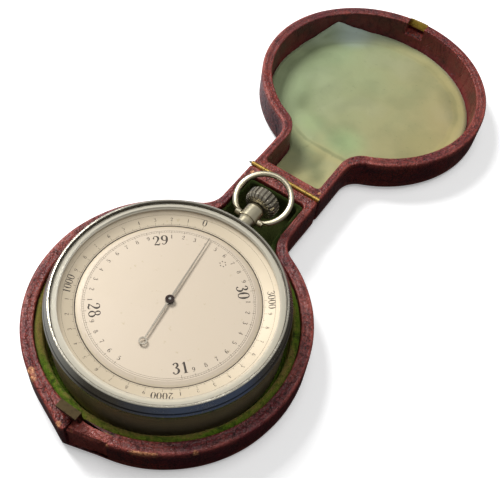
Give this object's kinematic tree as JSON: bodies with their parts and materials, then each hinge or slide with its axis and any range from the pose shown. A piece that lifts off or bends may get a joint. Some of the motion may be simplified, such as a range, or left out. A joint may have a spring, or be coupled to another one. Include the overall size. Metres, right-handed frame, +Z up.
{
  "type": "pocket aneroid barometer in case",
  "caption": "Pocket surveying aneroid with a crown-driven altitude ring, lying in its open hinged leather case lined with velvet and silk.",
  "frame": {"origin": "on the table, under the axis of the instrument's dial", "axes": "+Y from the dial to the case's hinge, +Z up, out of the dial, +X to the right"},
  "size_m": [0.091, 0.2281, 0.0252],
  "materials": {
    "leather": "grained maroon morocco leather, worn at the edges",
    "wood": "plain sawn",
    "velvet": "aged green velvet",
    "silk": "aged sage silk",
    "gilt_brass": "aged",
    "movement_brass": "satin",
    "steel": "satin",
    "blued_steel": "blued",
    "nickel": "polished nickel plate",
    "silvered": "aged silvering",
    "capsule_alloy": "satin nickel silver",
    "glass": "clear, bevelled rim"
  },
  "bodies": {
    "base": {"base_leather": "leather", "base_core": "wood", "base_lining": "velvet", "hinge_leaf_base": "gilt_brass", "hinge_pin": "steel", "hinge_nails_base": "gilt_brass", "catch_spring": "steel"},
    "lid": {"lid_leather": "leather", "lid_core": "wood", "lid_lining": "silk", "hinge_leaf_lid": "gilt_brass", "hinge_nails_lid": "gilt_brass", "catch_striker": "gilt_brass"},
    "catch": {"catch_button": "leather", "catch_tongue": "gilt_brass"},
    "instrument": {"case_body": "nickel", "bezel": "nickel", "glass": "glass", "dial": "silvered", "hairspring": "blued_steel", "movement_plate": "movement_brass", "plate_screws": "steel", "capsule": "capsule_alloy", "adjusting_screw": "steel", "bridge": "steel", "bridge_screws": "steel", "shaft_bearings": "movement_brass", "chain": "steel", "arbor_cock": "movement_brass", "dial_feet": "movement_brass", "stem_bearing": "movement_brass", "pendant": "nickel", "bow_screws": "nickel"},
    "lever": {"mainspring": "blued_steel", "spring_pin": "steel", "main_lever": "movement_brass", "lever_screw": "steel", "link": "steel"},
    "rocker": {"rocking_shaft": "steel"},
    "hand": {"pointer": "blued_steel", "pointer_arbor": "steel"},
    "altitude": {"altitude_ring": "silvered"},
    "winder": {"crown": "nickel", "winding_stem": "steel", "pinion": "movement_brass"},
    "ring_bow": {"bow": "nickel"}
  },
  "joints": [
    {"name": "lid_hinge", "type": "hinge", "parent": "base", "child": "lid", "pos_m": [0, 0.0673, 0.014], "axis": [-1, 0, 0], "range_deg": [-180, 0]},
    {"name": "catch_press", "type": "slide", "parent": "base", "child": "catch", "axis": [0, 1, 0], "range_m": [0, 0.00075], "stiffness_N_per_m": 1500, "springref_m": -0.001, "deforming": ["catch_spring"]},
    {"name": "instrument_lift", "type": "slide", "parent": "base", "child": "instrument", "axis": [0, 0, 1], "range_m": [0, 0.045]},
    {"name": "bow_swing", "type": "hinge", "parent": "instrument", "child": "ring_bow", "pos_m": [0, 0.0438, 0.0173], "axis": [1, 0, 0], "range_deg": [0, 100]},
    {"name": "altitude_ring_spin", "type": "hinge", "parent": "instrument", "child": "altitude", "pos_m": [0, 0, 0.022], "axis": [0, 0, 1], "continuous": true},
    {"name": "crown_spin", "type": "hinge", "parent": "instrument", "child": "winder", "pos_m": [0, 0.03, 0.0173], "axis": [0, 1, 0], "continuous": true},
    {"name": "pointer_turn", "type": "hinge", "parent": "instrument", "child": "hand", "pos_m": [0, 0, 0.02], "axis": [0, 0, 1], "range_deg": [-143.1, 126.9], "deforming": ["chain", "hairspring"]},
    {"name": "lever_rock", "type": "hinge", "parent": "instrument", "child": "lever", "pos_m": [0, -0.0145, 0.015], "axis": [1, 0, 0], "range_deg": [-1.1, 1.1]},
    {"name": "rocker_turn", "type": "hinge", "parent": "instrument", "child": "rocker", "pos_m": [0, 0.024, 0.01], "axis": [1, 0, 0], "range_deg": [-13.2, 13.2]}
  ],
  "couplings": [
    {"joint": "crown_spin", "follows": "altitude_ring_spin", "ratio": -13.5},
    {"joint": "lever_rock", "follows": "pointer_turn", "ratio": 0.0074074},
    {"joint": "rocker_turn", "follows": "pointer_turn", "ratio": -0.08763}
  ]
}
